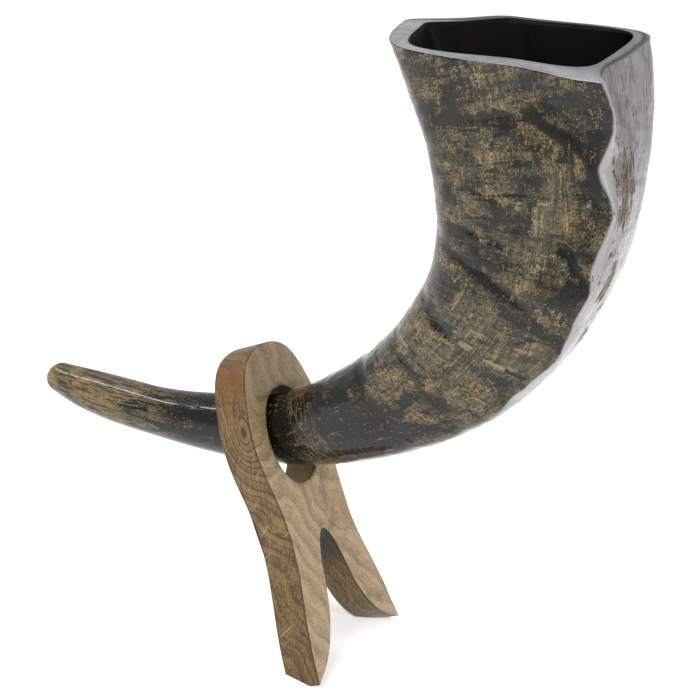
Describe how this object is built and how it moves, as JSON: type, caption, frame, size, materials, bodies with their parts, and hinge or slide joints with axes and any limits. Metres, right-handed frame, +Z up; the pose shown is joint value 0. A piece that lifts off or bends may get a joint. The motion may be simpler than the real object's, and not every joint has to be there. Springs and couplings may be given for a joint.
{
  "type": "drinking horn on stand",
  "caption": "Curved, hollow animal-horn cup with a squarish mouth and a solid tip, resting through the ring of a leaning, forked wooden stand.",
  "frame": {"origin": "on the floor, at the middle of the object's footprint box", "axes": "+X from the horn's tip towards its mouth, Y across the stand, +Z up"},
  "size_m": [0.2393, 0.071, 0.2672],
  "materials": {
    "horn": "polished dark horn with brown fibrous patches",
    "wood": "oiled golden-brown hardwood"
  },
  "bodies": {
    "stand": {"stand": "wood"},
    "horn": {"horn": "horn"}
  },
  "joints": [
    {"name": "horn_lift_out", "type": "slide", "parent": "stand", "child": "horn", "axis": [0.9914, 0, 0.1305], "range_m": [0, 0.13]}
  ]
}
